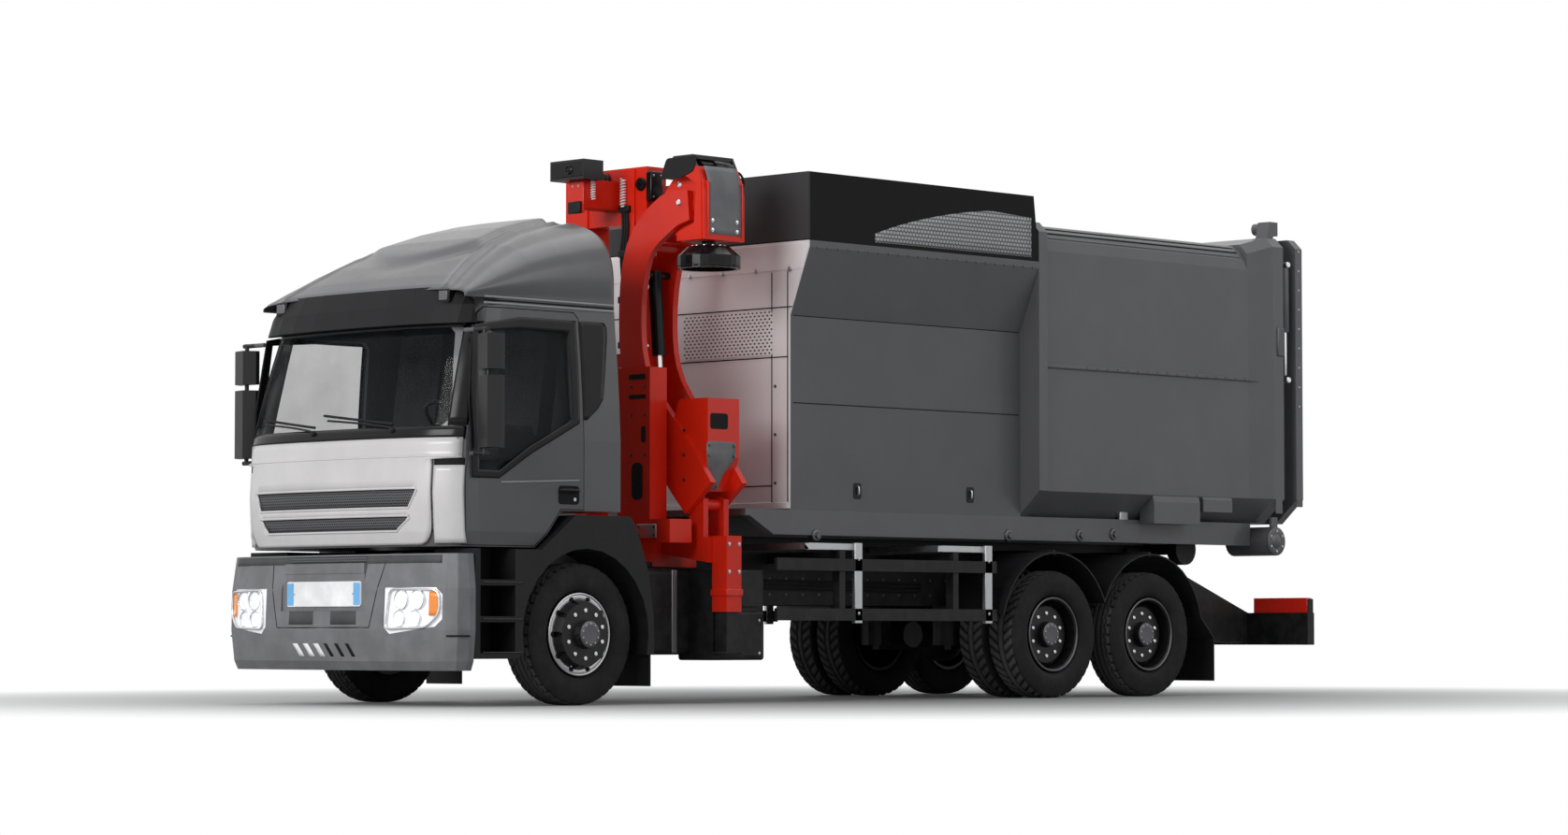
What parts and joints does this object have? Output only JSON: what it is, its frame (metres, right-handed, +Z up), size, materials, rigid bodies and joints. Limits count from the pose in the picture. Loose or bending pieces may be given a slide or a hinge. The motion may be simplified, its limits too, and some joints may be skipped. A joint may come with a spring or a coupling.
{
  "type": "garbage truck",
  "caption": "Cab-over refuse truck with a side-loading crane behind the cab, an open-topped hopper and a closed tipping container with a rear door.",
  "frame": {"origin": "on the ground under the middle of the truck's outline", "axes": "+X to the truck's left, -Y ahead in the driving direction, +Z up"},
  "size_m": [2.88, 9.735, 3.985],
  "materials": {
    "cab_grey": "light grey coach paint",
    "body_grey": "grey body paint",
    "crane_red": "red machine paint",
    "chassis_black": "black chassis paint",
    "plastic_black": "textured black plastic",
    "bumper_grey": "grained grey plastic",
    "tyre_rubber": "black rubber",
    "rim_steel": "dark painted steel",
    "chrome": "hard chromed rod",
    "glass": "lightly tinted glass",
    "lens": "clear lamp lens",
    "seat_cloth": "woven seat cloth",
    "galvanised": "galvanised steel"
  },
  "bodies": {
    "chassis": {"chassis_frame": "chassis_black", "engine_block": "chassis_black", "front_axle": "chassis_black", "drive_axle": "chassis_black", "tag_axle": "chassis_black", "front_bumper": "bumper_grey", "headlamp_left": "lens", "headlamp_right": "lens", "front_wing_left": "plastic_black", "front_wing_right": "plastic_black", "side_tank_left": "chassis_black", "side_tank_right": "chassis_black", "side_guard_left": "galvanised", "side_guard_right": "galvanised", "mudguard_left": "plastic_black", "mudguard_right": "plastic_black", "rear_underrun": "chassis_black", "crane_base": "crane_red"},
    "cab": {"cab_shell": "cab_grey", "cab_roof": "cab_grey", "windscreen": "glass", "sun_visor": "plastic_black", "dashboard": "plastic_black", "seat_left": "seat_cloth", "seat_right": "seat_cloth"},
    "compactor_body": {"body_base": "body_grey", "hopper": "body_grey", "hopper_screen": "plastic_black", "container": "body_grey"},
    "tailgate": {"tailgate": "body_grey"},
    "boom": {"boom": "crane_red"},
    "crane_head": {"crane_head": "crane_red"},
    "coupler": {"coupler": "plastic_black"},
    "lift_barrel": {"lift_barrel": "plastic_black"},
    "lift_rod": {"lift_rod": "chrome"},
    "door_left": {"door_left": "cab_grey", "door_glass_left": "glass"},
    "steering_left": {"knuckle_left": "chassis_black"},
    "front_wheel_left": {"front_rim_left": "rim_steel", "front_tyre_left": "tyre_rubber"},
    "drive_wheel_left": {"drive_rim_left": "rim_steel", "drive_outer_tyre_left": "tyre_rubber", "drive_inner_tyre_left": "tyre_rubber"},
    "tag_wheel_left": {"tag_rim_left": "rim_steel", "tag_tyre_left": "tyre_rubber"},
    "stabiliser_left": {"stabiliser_left": "galvanised"},
    "door_right": {"door_right": "cab_grey", "door_glass_right": "glass"},
    "steering_right": {"knuckle_right": "chassis_black"},
    "front_wheel_right": {"front_rim_right": "rim_steel", "front_tyre_right": "tyre_rubber"},
    "drive_wheel_right": {"drive_rim_right": "rim_steel", "drive_outer_tyre_right": "tyre_rubber", "drive_inner_tyre_right": "tyre_rubber"},
    "tag_wheel_right": {"tag_rim_right": "rim_steel", "tag_tyre_right": "tyre_rubber"},
    "stabiliser_right": {"stabiliser_right": "galvanised"}
  },
  "joints": [
    {"name": "cab_tilt", "type": "hinge", "parent": "chassis", "child": "cab", "pos_m": [0, -4.7225, 1.13], "axis": [1, 0, 0], "range_deg": [0, 50]},
    {"name": "door_left_hinge", "type": "hinge", "parent": "cab", "child": "door_left", "pos_m": [1.176, -4.5525, 1.1], "axis": [0, 0, -1], "range_deg": [0, 70]},
    {"name": "steer_left", "type": "hinge", "parent": "chassis", "child": "steering_left", "pos_m": [0.85, -3.4825, 0.4975], "axis": [0, 0, 1], "range_deg": [-36, 36]},
    {"name": "front_wheel_left_spin", "type": "hinge", "parent": "steering_left", "child": "front_wheel_left", "pos_m": [1.025, -3.4825, 0.4975], "axis": [1, 0, 0], "continuous": true},
    {"name": "drive_wheel_left_spin", "type": "hinge", "parent": "chassis", "child": "drive_wheel_left", "pos_m": [1.085, 1.5175, 0.4975], "axis": [1, 0, 0], "continuous": true},
    {"name": "tag_wheel_left_spin", "type": "hinge", "parent": "chassis", "child": "tag_wheel_left", "pos_m": [1.085, 2.6875, 0.4975], "axis": [1, 0, 0], "continuous": true},
    {"name": "stabiliser_left_slide", "type": "slide", "parent": "chassis", "child": "stabiliser_left", "axis": [0, 0, -1], "range_m": [0, 0.3]},
    {"name": "door_right_hinge", "type": "hinge", "parent": "cab", "child": "door_right", "pos_m": [-1.176, -4.5525, 1.1], "axis": [0, 0, 1], "range_deg": [0, 70]},
    {"name": "steer_right", "type": "hinge", "parent": "chassis", "child": "steering_right", "pos_m": [-0.85, -3.4825, 0.4975], "axis": [0, 0, 1], "range_deg": [-36, 36]},
    {"name": "front_wheel_right_spin", "type": "hinge", "parent": "steering_right", "child": "front_wheel_right", "pos_m": [-1.025, -3.4825, 0.4975], "axis": [1, 0, 0], "continuous": true},
    {"name": "drive_wheel_right_spin", "type": "hinge", "parent": "chassis", "child": "drive_wheel_right", "pos_m": [-1.085, 1.5175, 0.4975], "axis": [1, 0, 0], "continuous": true},
    {"name": "tag_wheel_right_spin", "type": "hinge", "parent": "chassis", "child": "tag_wheel_right", "pos_m": [-1.085, 2.6875, 0.4975], "axis": [1, 0, 0], "continuous": true},
    {"name": "stabiliser_right_slide", "type": "slide", "parent": "chassis", "child": "stabiliser_right", "axis": [0, 0, -1], "range_m": [0, 0.3]},
    {"name": "body_tip", "type": "hinge", "parent": "chassis", "child": "compactor_body", "pos_m": [0, 3.6015, 1.2], "axis": [-1, 0, 0], "range_deg": [0, 30]},
    {"name": "tailgate_hinge", "type": "hinge", "parent": "compactor_body", "child": "tailgate", "pos_m": [0, 4.4125, 3.8906], "axis": [1, 0, 0], "range_deg": [0, 85]},
    {"name": "boom_swing", "type": "hinge", "parent": "chassis", "child": "boom", "pos_m": [1, -2.0575, 1.44], "axis": [0, 1, 0], "range_deg": [0, 45]},
    {"name": "head_level", "type": "hinge", "parent": "boom", "child": "crane_head", "pos_m": [0.96, -2.0575, 3.62], "axis": [0, 1, 0], "range_deg": [-46, 1]},
    {"name": "coupler_swivel", "type": "hinge", "parent": "crane_head", "child": "coupler", "pos_m": [0.9842, -2.0575, 3.36], "axis": [0, 0, 1], "continuous": true},
    {"name": "lift_barrel_swing", "type": "hinge", "parent": "boom", "child": "lift_barrel", "pos_m": [0.42, -2.0575, 3.15], "axis": [0, 1, 0], "range_deg": [-1, 14.5]},
    {"name": "lift_rod_slide", "type": "slide", "parent": "lift_barrel", "child": "lift_rod", "axis": [0.0725, 0, -0.9974], "range_m": [-0.01, 0.528]}
  ],
  "couplings": [
    {"joint": "steer_right", "follows": "steer_left", "ratio": 1},
    {"joint": "head_level", "follows": "boom_swing", "ratio": -1},
    {"joint": "lift_barrel_swing", "follows": "boom_swing", "ratio": 0.3},
    {"joint": "lift_rod_slide", "follows": "boom_swing", "m_per_rad": 0.66}
  ]
}
